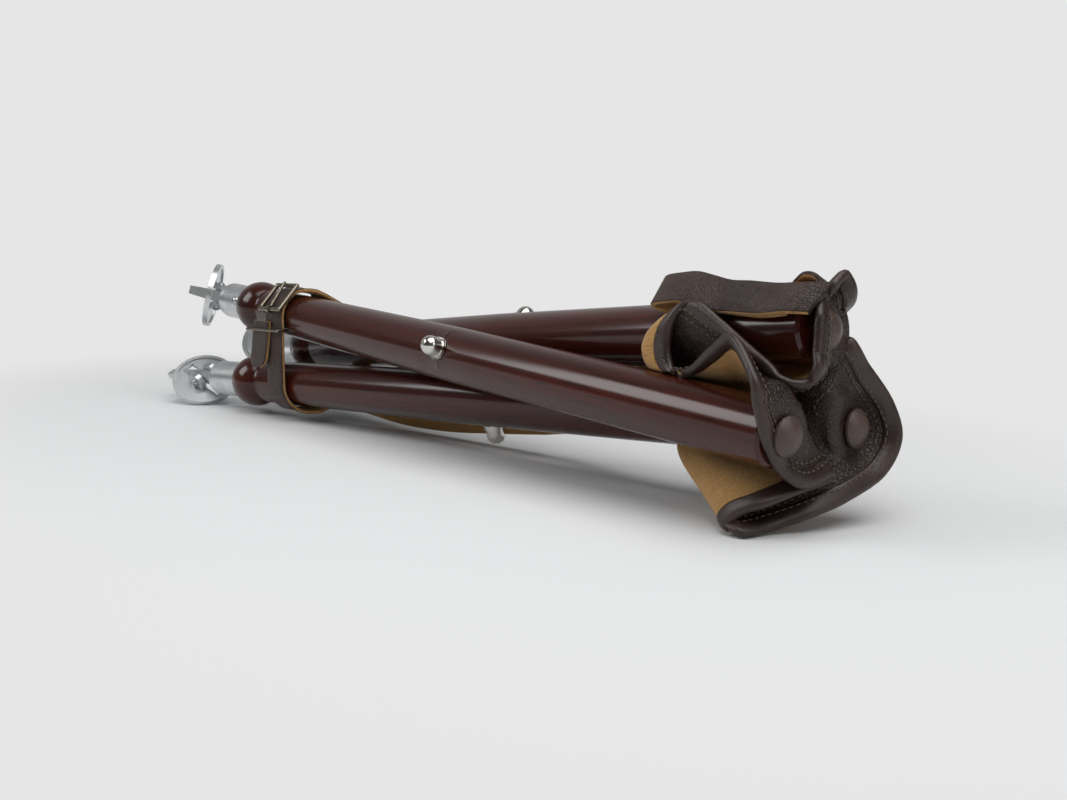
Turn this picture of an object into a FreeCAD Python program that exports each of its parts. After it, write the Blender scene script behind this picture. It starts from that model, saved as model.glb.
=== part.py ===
import FreeCAD, Part
import math
import os
from types import SimpleNamespace

import Sketcher
from FreeCAD import Placement, Rotation, Vector

# A folding tripod stool, folded and lying on its side. Three turned legs cross at a three-way
# bolt. The bundle's axis runs along X, the feet are at -X and the leather seat is at +X.
# Lengths are in millimetres and angles in degrees.

SIZES = {
    # How the folded bundle lies on the floor
    "hub_x": 53.9,
    "hub_y": -4.5,
    "rise_angle": 1.74,
    "first_leg_turn": 69.7,
    "fold_twist": 5.5,
    "running_gap": 0.05,
    "seat_gap": 0.3,
    # Turned legs
    "leg_ring": 20.6,
    "leg_radius_mid": 16.0,
    "leg_radius_foot": 14.6,
    "leg_radius_seat": 15.2,
    "foot_side": 243.0,
    "seat_side": 227.0,
    "knob_length": 25.0,
    "knob_end_radius": 13.0,
    "knob_neck_radius": 13.4,
    "knob_round": 19.0,
    "groove_length": 6.0,
    "groove_round": 4.4,
    "tenon_radius": 10.2,
    "tenon_length": 26.0,
    "leg_end_bevel": 1.5,
    "face_radius": 7.4,
    "face_depth_in": 1.5,
    "face_depth_out": 1.2,
    # Three-way bolt, washers and cap nuts
    "stud_radius": 3.0,
    "core_flat": 4.7,
    "core_corner": 7.2,
    "core_length": 9.0,
    "washer_radius": 6.5,
    "washer_thick": 1.2,
    "nut_flange_radius": 6.4,
    "nut_flange_thick": 1.3,
    "nut_radius": 5.6,
    "nut_wall": 5.4,
    "nut_dome": 5.5,
    "nut_tip_flat": 1.2,
    # Cast ferrules with their spikes
    "ferrule_radius": 12.5,
    "ferrule_length": 32.0,
    "ferrule_end_round": 3.0,
    "ferrule_roll_1": 85.0,
    "ferrule_roll_2": 71.0,
    "ferrule_roll_3": 80.0,
    "spike_length": 69.0,
    "spike_root_width": 10.0,
    "spike_root_thick": 7.0,
    "spike_tip_width": 6.2,
    "spike_tip_thick": 4.4,
    "screw_edge": 5.0,
    "screw_radius": 1.5,
    "screw_length": 9.0,
    "screw_head_radius": 3.1,
    "screw_head_height": 1.9,
    "screw_head_flat": 0.9,
    "screw_slot_width": 0.9,
    "screw_slot_depth": 0.8,
    # Swivelling ground discs and their rivet pins
    "pin_place": 23.0,
    "pin_radius": 2.0,
    "pin_head_radius": 3.0,
    "pin_head_height": 1.5,
    "pin_head_flat": 1.2,
    "disc_radius": 23.5,
    "disc_thick": 2.6,
    "disc_stand": 3.2,
    "disc_rim_width": 2.4,
    "disc_rim_height": 1.2,
    "disc_slot_length": 36.0,
    "lug_gap": 10.2,
    "lug_thick": 4.0,
    "lug_round": 7.0,
    "disc_tilt_1": 55.0,
    "disc_tilt_2": 57.0,
    "disc_tilt_3": 52.0,
    # Leather seat, its buttons and their screws
    "leather": 2.8,
    "corner_radius": 21.0,
    "web_radius": 18.0,
    "fold_unit": 1.0,
    "button_radius": 9.2,
    "button_edge": 1.8,
    "button_dome": 4.2,
    "button_flat": 2.0,
    "button_socket": 3.5,
    "button_screw_radius": 1.8,
    "button_screw_depth": 20.0,
    # Carrying strap and its buckle
    "strap_width": 20.0,
    "strap_thick": 2.6,
    "strap_place": 181.0,
    "strap_slack": 1.5,
    "strap_unit": 1.0,
    "join_share": 0.45,
    "tongue_length": 36.0,
    "tongue_straight": 0.8,
    "tongue_tip": 0.55,
    "tongue_shift": 16.0,
    "tongue_set": 2.3,
    "buckle_inside": 22.0,
    "buckle_length": 24.0,
    "buckle_bar": 2.8,
    "buckle_turn": 46.0,
    "buckle_drop": 1.6,
    "ring_rounding": 0.48,
    "prong_radius": 0.95,
    "prong_wall": 1.0,
    "prong_short": 0.7,
    "prong_eye_width": 3.2,
    "keeper_wire": 2.0,
    "keeper_height": 14.0,
}

doc = FreeCAD.newDocument("folding_tripod_stool")
sheet = doc.addObject("Spreadsheet::Sheet", "Sizes")
for row, (name, number) in enumerate(SIZES.items(), start=1):
    sheet.set(f"A{row}", name)
    sheet.set(f"B{row}", str(number))
    sheet.setAlias(f"B{row}", name)
doc.recompute()


class Size:
    """A number that also carries the sheet formula it comes from."""

    def __init__(self, value, text):
        self.value = value
        self.text = text

    def __add__(self, other):
        other = as_size(other)
        return Size(self.value + other.value, f"({self.text} + {other.text})")

    def __sub__(self, other):
        other = as_size(other)
        return Size(self.value - other.value, f"({self.text} - {other.text})")

    def __mul__(self, other):
        other = as_size(other)
        return Size(self.value * other.value, f"({self.text} * {other.text})")

    def __truediv__(self, other):
        other = as_size(other)
        return Size(self.value / other.value, f"({self.text} / {other.text})")


def as_size(number):
    return number if isinstance(number, Size) else Size(float(number), repr(float(number)))


S = SimpleNamespace(**{name: Size(sheet.get(name), f"Sizes.{name}") for name in SIZES})
ZERO = as_size(0)
LEGS = range(1, 4)
parts = {}


def bind(thing, **sizes):
    """Ties properties of an object to the sheet."""
    for key, size in sizes.items():
        thing.setExpression(key, as_size(size).text)


# Frames: the bundle, each leg, each ferrule and each ground disc

ALONG = Vector(1, 0, 0)
ACROSS = Vector(0, 1, 0)
UP = Vector(0, 0, 1)


def turned(axis, angle):
    return Placement(Vector(), Rotation(axis, angle))


def moved(x, y, z):
    return Placement(Vector(x, y, z), Rotation())


LEVEL_BUNDLE = turned(ACROSS, -S.rise_angle.value)


def radial_frame(leg):
    """At the hub, with Z out along the leg's stud and X along the bundle."""
    return LEVEL_BUNDLE.multiply(turned(ALONG, S.first_leg_turn.value + 120.0 * (leg - 1)))


def leg_frame(leg):
    """On the leg's own axis at its stud, with X towards the seat and Z out along the stud."""
    out = moved(0, 0, S.leg_ring.value)
    return radial_frame(leg).multiply(out).multiply(turned(UP, -S.fold_twist.value))


def roll_of(leg):
    return getattr(S, f"ferrule_roll_{leg}")


def screw_place():
    """How far the ferrule's screw stands from its closed end."""
    return S.ferrule_length - S.screw_edge


def ferrule_frame(leg):
    """At the ferrule's closed end, with X towards the seat and Z along the disc's pin."""
    back = moved(-(S.foot_side + S.ferrule_length).value, 0, 0)
    return leg_frame(leg).multiply(back).multiply(turned(ALONG, -roll_of(leg).value))


def disc_frame(leg):
    """At the pin, turned to the angle at which the disc lies."""
    at_pin = ferrule_frame(leg).multiply(moved(-S.pin_place.value, 0, 0))
    return at_pin.multiply(turned(UP, getattr(S, f"disc_tilt_{leg}").value))


def lowest_of_disc(leg):
    """Lowest height of a round plate: its faces' centres less the drop of its tilted rim."""
    frame = disc_frame(leg)
    stand = S.disc_stand.value
    faces = (stand - S.disc_rim_height.value, stand + S.disc_thick.value)
    normal = frame.Rotation.multVec(ALONG)
    drop = S.disc_radius.value * math.sqrt(1.0 - normal.z ** 2)
    return min(frame.multVec(Vector(-face, 0, 0)).z for face in faces) - drop


HUB_HEIGHT = -lowest_of_disc(2)
HUB = moved(S.hub_x.value, S.hub_y.value, HUB_HEIGHT)


def place(label, thing, frame):
    """Puts a finished sub-part at its place and enters it in the list of parts."""
    thing.Label = label
    thing.Placement = HUB.multiply(frame)
    parts[label] = thing


# Drawing and turning

def new_sketch(body, role, name, offset=None):
    sketch = body.newObject("Sketcher::SketchObject", name)
    plane = [item for item in body.Origin.OriginFeatures if item.Role == role][0]
    sketch.AttachmentSupport = [(plane, "")]
    sketch.MapMode = "FlatFace"
    if offset is not None:
        sketch.AttachmentOffset = offset
    return sketch


def pin_corner(sketch, item, end, x, y):
    """Holds a corner at sheet-driven distances from the sketch's origin."""
    for kind, size, axis in (("DistanceX", x, -2), ("DistanceY", y, -1)):
        if size.value == 0:
            sketch.addConstraint(Sketcher.Constraint("PointOnObject", item, end, axis))
            continue
        index = sketch.addConstraint(Sketcher.Constraint(kind, -1, 1, item, end, size.value))
        sketch.setExpression(f"Constraints[{index}]", size.text)


def arc_between(start, end, radius, bulge):
    """Arc of the given radius, to the left of the way from start to end when bulge is 1."""
    middle = (start + end) * 0.5
    chord = end - start
    left = Vector(-chord.y, chord.x, 0).normalize()
    reach = math.sqrt(radius ** 2 - (chord.Length / 2) ** 2)
    centre = middle - left * (bulge * reach)
    first, last = (end, start) if bulge > 0 else (start, end)
    angles = [math.atan2(p.y - centre.y, p.x - centre.x) for p in (first, last)]
    if angles[1] < angles[0]:
        angles[1] += 2 * math.pi
    return Part.ArcOfCircle(Part.Circle(centre, UP, radius), angles[0], angles[1])


def draw_outline(sketch, corners):
    """Closed outline. A corner is (x, y), or (x, y, radius, bulge) where an arc leaves it."""
    count = len(corners)
    ends = []
    for index, corner in enumerate(corners):
        start = Vector(corner[0].value, corner[1].value, 0)
        after = corners[(index + 1) % count]
        end = Vector(after[0].value, after[1].value, 0)
        if len(corner) == 2:
            sketch.addGeometry(Part.LineSegment(start, end), False)
            ends.append((1, 2))
        else:
            sketch.addGeometry(arc_between(start, end, corner[2].value, corner[3]), False)
            ends.append((2, 1) if corner[3] > 0 else (1, 2))
    for index in range(count):
        after = (index + 1) % count
        joined = Sketcher.Constraint("Coincident", index, ends[index][1], after, ends[after][0])
        sketch.addConstraint(joined)
    for index, corner in enumerate(corners):
        pin_corner(sketch, index, ends[index][0], corner[0], corner[1])
        if len(corner) == 4:
            number = sketch.addConstraint(Sketcher.Constraint("Radius", index, corner[2].value))
            sketch.setExpression(f"Constraints[{number}]", corner[2].text)


def draw_circle(sketch, x, radius):
    """Circle centred on the sketch's own X axis."""
    item = sketch.addGeometry(Part.Circle(Vector(x.value, 0, 0), UP, radius.value), False)
    pin_corner(sketch, item, 3, x, ZERO)
    index = sketch.addConstraint(Sketcher.Constraint("Radius", item, radius.value))
    sketch.setExpression(f"Constraints[{index}]", radius.text)


def draw_rectangle(sketch, wide, tall):
    """Rectangle centred on the sketch's origin."""
    w, t = wide.value / 2, tall.value / 2
    spots = [Vector(-w, -t, 0), Vector(w, -t, 0), Vector(w, t, 0), Vector(-w, t, 0)]
    first = sketch.GeometryCount
    for index in range(4):
        sketch.addGeometry(Part.LineSegment(spots[index], spots[(index + 1) % 4]), False)
    for index in range(4):
        here, after = first + index, first + (index + 1) % 4
        sketch.addConstraint(Sketcher.Constraint("Coincident", here, 2, after, 1))
        sketch.addConstraint(Sketcher.Constraint(("Horizontal", "Vertical")[index % 2], here))
    sketch.addConstraint(Sketcher.Constraint("Symmetric", first, 1, first + 1, 2, -1, 1))
    number = sketch.addConstraint(Sketcher.Constraint("DistanceX", first, 1, first, 2, wide.value))
    sketch.setExpression(f"Constraints[{number}]", wide.text)
    number = sketch.addConstraint(
        Sketcher.Constraint("DistanceY", first + 1, 1, first + 1, 2, tall.value))
    sketch.setExpression(f"Constraints[{number}]", tall.text)


def turn(label, corners):
    """Body turned about its own X axis from half an outline."""
    body = doc.addObject("PartDesign::Body", label)
    sketch = new_sketch(body, "XY_Plane", label + "_outline")
    draw_outline(sketch, corners)
    solid = body.newObject("PartDesign::Revolution", label + "_turned")
    solid.Profile = sketch
    solid.ReferenceAxis = (sketch, ["H_Axis"])
    solid.Angle = 360
    doc.recompute()
    return body


def cut(body, sketch, name, way):
    """Pocket through the body: way is both, or up or down along the sketch's normal."""
    before = body.Shape.Volume
    pocket = body.newObject("PartDesign::Pocket", name)
    pocket.Profile = sketch
    pocket.Type = 1
    pocket.Midplane = way == "both"
    pocket.Reversed = way == "up"
    doc.recompute()
    if not body.Shape.Volume < before:
        raise RuntimeError(f"{name} cuts nothing")


def drill(body, name, place_x, radius, way="both", offset=None):
    """Round hole square to the body's XY plane, or to that plane moved and turned by offset."""
    sketch = new_sketch(body, "XY_Plane", name + "_circle", offset)
    draw_circle(sketch, place_x, radius)
    cut(body, sketch, name, way)


# Turned hardwood legs: a tenon for the ferrule, a knob and groove at the foot, then a slow swell
# to the crossing and a slow taper to the seat

def make_leg(leg):
    label = f"leg_{leg}"
    knob = S.tenon_length
    neck = knob + S.knob_length
    shaft = neck + S.groove_length
    crossing = S.tenon_length + S.foot_side
    top = crossing + S.seat_side
    pilot = S.button_screw_radius + S.running_gap
    body = turn(label, [
        (ZERO, ZERO),
        (ZERO, S.tenon_radius),
        (knob, S.tenon_radius),
        (knob, S.knob_end_radius, S.knob_round, 1),
        (neck, S.knob_neck_radius, S.groove_round, -1),
        (shaft, S.leg_radius_foot),
        (crossing, S.leg_radius_mid),
        (top - S.leg_end_bevel, S.leg_radius_seat),
        (top, S.leg_radius_seat - S.leg_end_bevel),
        (top, pilot),
        (top - S.button_screw_depth, pilot),
        (top - S.button_screw_depth, ZERO),
    ])
    drill(body, label + "_stud_hole", crossing, S.stud_radius + S.running_gap)
    outer = moved(0, 0, (S.leg_radius_mid - S.face_depth_out).value)
    drill(body, label + "_outer_face", crossing, S.face_radius, "up", outer)
    inner = moved(0, 0, -(S.leg_radius_mid - S.face_depth_in).value)
    drill(body, label + "_inner_face", crossing, S.face_radius, "down", inner)
    to_screw = turned(ALONG, 90.0 - roll_of(leg).value)
    drill(body, label + "_screw_hole", screw_place() - (S.ferrule_length - S.tenon_length),
          S.screw_radius + S.running_gap, "up", to_screw)
    place(label, body, leg_frame(leg).multiply(moved(-crossing.value, 0, 0)))


# Cast ferrules: a cup over the leg's tenon, closed at the foot, with a flat tapering spike

def make_ferrule(leg):
    label = f"ferrule_{leg}"
    end = S.ferrule_end_round
    floor = S.ferrule_length - S.tenon_length - S.running_gap
    bore = S.tenon_radius + S.running_gap
    body = turn(label, [
        (ZERO, ZERO),
        (ZERO, S.ferrule_radius - end, end, 1),
        (end, S.ferrule_radius),
        (S.ferrule_length, S.ferrule_radius),
        (S.ferrule_length, bore),
        (floor, bore),
        (floor, ZERO),
    ])
    root = new_sketch(body, "YZ_Plane", label + "_spike_root", moved(0, 0, end.value / 2))
    draw_rectangle(root, S.spike_root_thick, S.spike_root_width)
    tip = new_sketch(body, "YZ_Plane", label + "_spike_tip", moved(0, 0, -S.spike_length.value))
    draw_rectangle(tip, S.spike_tip_thick, S.spike_tip_width)
    spike = body.newObject("PartDesign::AdditiveLoft", label + "_spike")
    spike.Profile = root
    spike.Sections = [tip]
    spike.Ruled = True
    doc.recompute()
    edges = [f"Edge{n}" for n, edge in enumerate(body.Shape.Edges, start=1)
             if abs(edge.CenterOfMass.x + S.spike_length.value) < 0.01]
    rounding = body.newObject("PartDesign::Fillet", label + "_tip_round")
    rounding.Base = (spike, edges)
    bind(rounding, Radius=S.spike_tip_thick / 3)
    doc.recompute()
    drill(body, label + "_pin_hole", ZERO, S.pin_radius + S.running_gap / 2, "both",
          moved(-S.pin_place.value, 0, 0))
    drill(body, label + "_screw_hole", screw_place(), S.screw_radius + S.running_gap, "up",
          turned(ALONG, 90.0))
    place(label, body, ferrule_frame(leg))


# Ground discs: a rimmed plate with a slot for the spike and two lugs that straddle it

def make_disc(leg):
    label = f"ground_disc_{leg}"
    inner = S.disc_thick
    rim = S.disc_radius - S.disc_rim_width
    body = turn(label, [
        (ZERO, ZERO),
        (ZERO, S.disc_radius),
        (inner + S.disc_rim_height, S.disc_radius),
        (inner + S.disc_rim_height, rim),
        (inner, rim),
        (inner, ZERO),
    ])
    slot = new_sketch(body, "YZ_Plane", label + "_slot_outline")
    draw_rectangle(slot, S.disc_slot_length, S.lug_gap - S.running_gap * 4)
    cut(body, slot, label + "_slot", "both")
    for side, start in (("upper", S.lug_gap / 2), ("lower", ZERO - S.lug_gap / 2 - S.lug_thick)):
        sketch = new_sketch(body, "XY_Plane", f"{label}_{side}_lug_outline", moved(0, 0, start.value))
        draw_lug(sketch, inner / 2, inner + S.disc_stand, S.lug_round)
        draw_circle(sketch, inner + S.disc_stand, S.pin_radius + S.running_gap)
        lug = body.newObject("PartDesign::Pad", f"{label}_{side}_lug")
        lug.Profile = sketch
        bind(lug, Length=S.lug_thick)
        doc.recompute()
    place(label, body, disc_frame(leg).multiply(moved(-(inner + S.disc_stand).value, 0, 0)))


def draw_lug(sketch, foot, centre, radius):
    """Straight-sided lug with a round end about the pin."""
    f, c, r = foot.value, centre.value, radius.value
    sketch.addGeometry(Part.LineSegment(Vector(f, -r, 0), Vector(c, -r, 0)), False)
    circle = Part.Circle(Vector(c, 0, 0), UP, r)
    sketch.addGeometry(Part.ArcOfCircle(circle, -math.pi / 2, math.pi / 2), False)
    sketch.addGeometry(Part.LineSegment(Vector(c, r, 0), Vector(f, r, 0)), False)
    sketch.addGeometry(Part.LineSegment(Vector(f, r, 0), Vector(f, -r, 0)), False)
    for here, after in ((0, 1), (1, 2), (2, 3), (3, 0)):
        sketch.addConstraint(Sketcher.Constraint("Coincident", here, 2, after, 1))
    sketch.addConstraint(Sketcher.Constraint("Horizontal", 0))
    sketch.addConstraint(Sketcher.Constraint("Horizontal", 2))
    sketch.addConstraint(Sketcher.Constraint("Vertical", 3))
    sketch.addConstraint(Sketcher.Constraint("Vertical", 1, 3, 1, 1))
    pin_corner(sketch, 1, 3, centre, ZERO)
    index = sketch.addConstraint(Sketcher.Constraint("DistanceX", -1, 1, 3, 1, f))
    sketch.setExpression(f"Constraints[{index}]", foot.text)
    index = sketch.addConstraint(Sketcher.Constraint("Radius", 1, r))
    sketch.setExpression(f"Constraints[{index}]", radius.text)


# Rivet pins: a shank with a domed head at each end

def make_pin(leg):
    label = f"disc_pin_{leg}"
    grip = S.lug_gap + S.lug_thick * 2 + S.running_gap * 4
    head = S.pin_head_height
    dome = S.pin_head_radius
    body = turn(label, [
        (ZERO, ZERO),
        (ZERO, S.pin_head_flat, dome, 1),
        (head, S.pin_head_radius),
        (head, S.pin_radius),
        (head + grip, S.pin_radius),
        (head + grip, S.pin_head_radius, dome, 1),
        (head * 2 + grip, S.pin_head_flat),
        (head * 2 + grip, ZERO),
    ])
    along_pin = turned(ACROSS, -90.0).multiply(moved(-(head + grip / 2).value, 0, 0))
    at_pin = ferrule_frame(leg).multiply(moved(-S.pin_place.value, 0, 0))
    place(label, body, at_pin.multiply(along_pin))


# Slotted round-head screws through the ferrule's wall into the tenon

def make_screw(leg):
    label = f"ferrule_screw_{leg}"
    head = S.screw_head_height
    body = turn(label, [
        (ZERO, ZERO),
        (ZERO, S.screw_radius),
        (S.screw_length, S.screw_radius),
        (S.screw_length, S.screw_head_radius, S.screw_head_radius, 1),
        (S.screw_length + head, S.screw_head_flat),
        (S.screw_length + head, ZERO),
    ])
    slot = new_sketch(body, "YZ_Plane", label + "_slot_outline",
                      moved(0, 0, (S.screw_length + head - S.screw_slot_depth).value))
    draw_rectangle(slot, S.screw_slot_width, S.screw_head_radius * 2)
    cut(body, slot, label + "_slot", "up")
    out = turned(UP, -90.0).multiply(moved((S.ferrule_radius - S.screw_length).value, 0, 0))
    at_screw = ferrule_frame(leg).multiply(moved(screw_place().value, 0, 0))
    place(label, body, at_screw.multiply(out))


# Three-way bolt: a triangular core with a stud square to each of its flats

def make_bolt():
    prism = doc.addObject("Part::Prism", "bolt_prism")
    prism.Polygon = 3
    bind(prism, Circumradius=S.core_flat * 2, Height=S.core_length)
    prism.Placement = Placement(Vector(0, 0, -S.core_length.value / 2), Rotation(UP, 180))
    round_off = doc.addObject("Part::Cylinder", "bolt_corners")
    bind(round_off, Radius=S.core_corner, Height=S.core_length)
    round_off.Placement = moved(0, 0, -S.core_length.value / 2)
    core = doc.addObject("Part::Common", "bolt_core")
    core.Base = prism
    core.Tool = round_off
    studs = []
    for leg in LEGS:
        stud = doc.addObject("Part::Cylinder", f"stud_{leg}")
        bind(stud, Radius=S.stud_radius,
             Height=S.leg_ring + S.leg_radius_mid - S.face_depth_out + S.washer_thick + S.nut_wall)
        stud.Placement = turned(UP, 120.0 * (leg - 1)).multiply(turned(ACROSS, 90.0))
        studs.append(stud)
    bolt = doc.addObject("Part::MultiFuse", "three_way_bolt")
    bolt.Shapes = [core, *studs]
    doc.recompute()
    onto_axis = Placement(Vector(), Rotation(Vector(1, 0, 1), 180))
    place("three_way_bolt", bolt, radial_frame(1).multiply(onto_axis))


# Plain washers on the studs, inside and outside each leg

def make_washers(label, radius_at):
    rings = []
    for leg in LEGS:
        outer = doc.addObject("Part::Cylinder", f"{label}_{leg}_disc")
        hole = doc.addObject("Part::Cylinder", f"{label}_{leg}_hole")
        bind(outer, Radius=S.washer_radius, Height=S.washer_thick)
        bind(hole, Radius=S.stud_radius + S.running_gap, Height=S.washer_thick)
        ring = doc.addObject("Part::Cut", f"{label}_{leg}")
        ring.Base = outer
        ring.Tool = hole
        ring.Placement = radial_frame(leg).multiply(moved(0, 0, radius_at.value))
        rings.append(ring)
    group = doc.addObject("Part::Compound", label)
    group.Links = rings
    place(label, group, Placement())


# Domed cap nuts that close the studs

def make_nut(leg):
    label = f"cap_nut_{leg}"
    flange = S.nut_flange_thick
    bore = S.stud_radius + S.running_gap
    body = turn(label, [
        (ZERO, bore),
        (ZERO, S.nut_flange_radius),
        (flange, S.nut_flange_radius),
        (flange, S.nut_radius),
        (S.nut_wall, S.nut_radius, S.nut_radius, 1),
        (S.nut_wall + S.nut_dome, S.nut_tip_flat),
        (S.nut_wall + S.nut_dome, ZERO),
        (S.nut_wall + S.running_gap, ZERO),
        (S.nut_wall + S.running_gap, bore),
    ])
    seat = S.leg_ring + S.leg_radius_mid - S.face_depth_out + S.running_gap + S.washer_thick
    out = moved(0, 0, seat.value).multiply(turned(ACROSS, -90.0))
    place(label, body, radial_frame(leg).multiply(out))


# Leather-covered buttons and the screws that hold the seat's corners to the leg ends

def make_button(leg):
    label = f"seat_button_{leg}"
    under = S.seat_side + S.seat_gap * 2 + S.leather
    hole = S.button_screw_radius + S.running_gap
    body = turn(label, [
        (ZERO, hole),
        (ZERO, S.button_radius - S.button_edge / 3),
        (S.button_edge / 3, S.button_radius),
        (S.button_edge, S.button_radius, S.button_radius * 1.25, 1),
        (S.button_edge + S.button_dome, S.button_flat),
        (S.button_edge + S.button_dome, ZERO),
        (S.button_socket, ZERO),
        (S.button_socket, hole),
    ])
    place(label, body, leg_frame(leg).multiply(moved(under.value, 0, 0)))
    screw = doc.addObject("Part::Cylinder", f"button_screw_{leg}")
    reach = under + S.button_socket - S.running_gap
    start = S.seat_side - S.button_screw_depth + S.running_gap
    bind(screw, Radius=S.button_screw_radius, Height=reach - start)
    along = moved(start.value, 0, 0).multiply(turned(ACROSS, 90.0))
    place(f"button_screw_{leg}", screw, leg_frame(leg).multiply(along))


# Soft forms are sheets of even thickness, faceted between straight sections

def facets(sections):
    """Closed solid through a row of four-cornered sections, each side made of two triangles."""
    faces = []
    for corners in (sections[0], sections[-1]):
        faces.append(Part.Face(Part.makePolygon([*corners, corners[0]])))
    for near, far in zip(sections, sections[1:]):
        for here in range(4):
            after = (here + 1) % 4
            for spots in ((near[here], near[after], far[after]), (near[here], far[after], far[here])):
                faces.append(Part.Face(Part.makePolygon([*spots, spots[0]])))
    solid = Part.Solid(Part.Shell(faces))
    if solid.Volume < 0:
        solid.reverse()
    return solid


def folded_sheet(edges, thick):
    """Sheet through a row of straight edges, mitred at each fold."""
    normals = []
    for (a, b), (c, d) in zip(edges, edges[1:]):
        rule = (b - a) + (d - c)
        normals.append(rule.cross((c + d) - (a + b)).normalize())
    sections = []
    for index, (start, end) in enumerate(edges):
        near = normals[max(index - 1, 0)]
        far = normals[min(index, len(normals) - 1)]
        out = (near + far) * (thick / max(1.0 + near.dot(far), 0.5))
        sections.append([start, end, end + out, start + out])
    return facets(sections)


def strip_section(centre, wide, out, width, thick):
    """Corners of a thin rectangle, width along one direction and thick along another."""
    wide = Vector(*wide).normalize() * (width / 2)
    out = Vector(*out).normalize() * (thick / 2)
    return [centre - wide - out, centre + wide - out, centre + wide + out, centre - wide + out]


def leg_end(leg):
    return leg_frame(leg).multVec(Vector(S.seat_side.value, 0, 0))


# The seat: one piece of leather whose three corners cover the leg ends, with a deep fold hanging
# between each pair of legs. A fold is a row of crease lines: a leg, then two points of the crease
# measured from that leg's end in fold units. A point without a height lies on the floor.

FRONT_FOLD = (
    (1, (-60.5, 0.5, -15.4), (2.5, -2.5, -18.4)),
    (1, (-30.5, -4.9), (-16.5, -4.9)),
    (2, (-14.6, -21.2, -30.6), (4.4, -17.2, -23.6)),
    (2, (-0.6, -13.2, -20.6), (4.4, 12.8, -12.6)),
)
UPPER_FOLD = (
    (1, (1.5, -15.4, 7.6), (1.5, 2.6, 17.6)),
    (1, (-22.5, -15.4, 41.6), (-25.5, 0.6, 39.6)),
    (1, (-55.5, -5.4, 22.6), (-60.5, 4.6, 22.6)),
    (1, (-56.5, 2.6, 52.6), (-66.5, 10.6, 54.6)),
    (3, (-27.7, -23.8, -4.5), (-33.7, -17.3, -0.5)),
    (3, (2.3, -20.8, -25.5), (2.3, -10.8, -19.5)),
)
REAR_FOLD = (
    (2, (1.4, 17.8, 6.4), (1.4, 12.8, -12.6)),
    (2, (-32.6, 18.8), (-14.6, 18.8)),
    (2, (-32.6, 26.8), (-14.6, 26.8)),
    (2, (-56.6, 24.8, 17.4), (-20.6, 26.8, 23.4)),
    (3, (2.3, 17.2, 7.5), (2.3, 18.2, -8.5)),
)


def crease_point(leg, steps):
    """Point at the given steps from a leg's end, or on the floor where no height is given."""
    spot = leg_end(leg) + Vector(*steps) * S.fold_unit.value
    if len(steps) == 2:
        spot.z = -HUB_HEIGHT
    return spot


def make_seat():
    thick = S.leather.value
    solids = []
    for leg in LEGS:
        corner = Part.makeCylinder(S.corner_radius.value, thick)
        hole = Part.makeCylinder(S.button_screw_radius.value + S.seat_gap.value, thick)
        corner = corner.cut(hole)
        along = moved((S.seat_side + S.seat_gap).value, 0, 0).multiply(turned(ACROSS, 90.0))
        corner.Placement = leg_frame(leg).multiply(along)
        solids.append(corner)
    web = Part.makeCylinder(S.web_radius.value, thick)
    reach = sum(LEVEL_BUNDLE.inverse().multVec(leg_end(leg)).x for leg in LEGS) / len(LEGS)
    web_place = moved(reach + S.seat_gap.value + thick / 2, 0, 0).multiply(turned(ACROSS, 90.0))
    web.Placement = LEVEL_BUNDLE.multiply(web_place)
    solids.append(web)
    for fold in (FRONT_FOLD, UPPER_FOLD, REAR_FOLD):
        creases = [(crease_point(leg, start), crease_point(leg, end)) for leg, start, end in fold]
        solids.append(folded_sheet(creases, thick))
    seat = doc.addObject("Part::Feature", "seat_leather")
    seat.Shape = solids[0].fuse(solids[1:]).removeSplitter()
    if len(seat.Shape.Solids) != 1:
        raise RuntimeError("the seat is not one piece")
    place("seat_leather", seat, Placement())


# The carrying strap: from the top corner of the seat along the top leg, over and behind the
# bundle, then round all three legs near the feet, with its free end beside the buckle. A run is a
# row of sections: a middle in strap units, then the ways across the strap and out from it. The
# upper run is measured from the top leg's end and the lower one from the hub.

UPPER_RUN = (
    (-2.6, -10.5, 49.2, (0, 0.71, 0.71), (0, -0.71, 0.71)),
    (-42, -3, 49, (0, 0.71, 0.71), (0, -0.71, 0.71)),
    (-74, -2, 49.5, (0, 0.8, 0.6), (0.1, -0.5, 0.85)),
    (-90, 5, 49.5, (0.4, 0.9, 0.2), (-0.4, 0, 0.9)),
    (-99, 17, 47, (0.9, 0.4, -0.1), (-0.2, 0.6, 0.8)),
    (-104, 28, 38, (0.95, 0.15, -0.15), (0, 0.85, 0.5)),
    (-110, 31, 24, (0.95, 0, -0.2), (0.1, 1, 0.1)),
    (-130, 34, -4, (0.8, 0, -0.6), (0, 1, 0)),
    (-165, 33, -24, (0.3, 0, -0.95), (0, 1, 0)),
)
LOWER_RUN = (
    (0, 28, -34, (0, 0, -1), (0, 1, 0)),
    (-50, 24, -39, (0, -0.1, -1), (0, 1, -0.1)),
    (-100, 19, -40, (0, -0.2, -1), (0, 1, -0.2)),
    (-138, 15.5, -37.5, (0, -0.5, -0.87), (0, 0.87, -0.5)),
)


def strap_circle(leg):
    """Centre of a leg where the strap goes round the bundle, in the bundle's own frame."""
    along = S.strap_place.value / math.cos(math.radians(S.fold_twist.value))
    spot = leg_frame(leg).multVec(Vector(-along, 0, 0))
    return LEVEL_BUNDLE.inverse().multVec(spot)


def strap_radius():
    run = S.foot_side - S.knob_length - S.groove_length
    share = 1.0 - S.strap_place.value / run.value
    swell = (S.leg_radius_mid - S.leg_radius_foot).value
    return S.leg_radius_foot.value + swell * share + S.strap_slack.value


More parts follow.
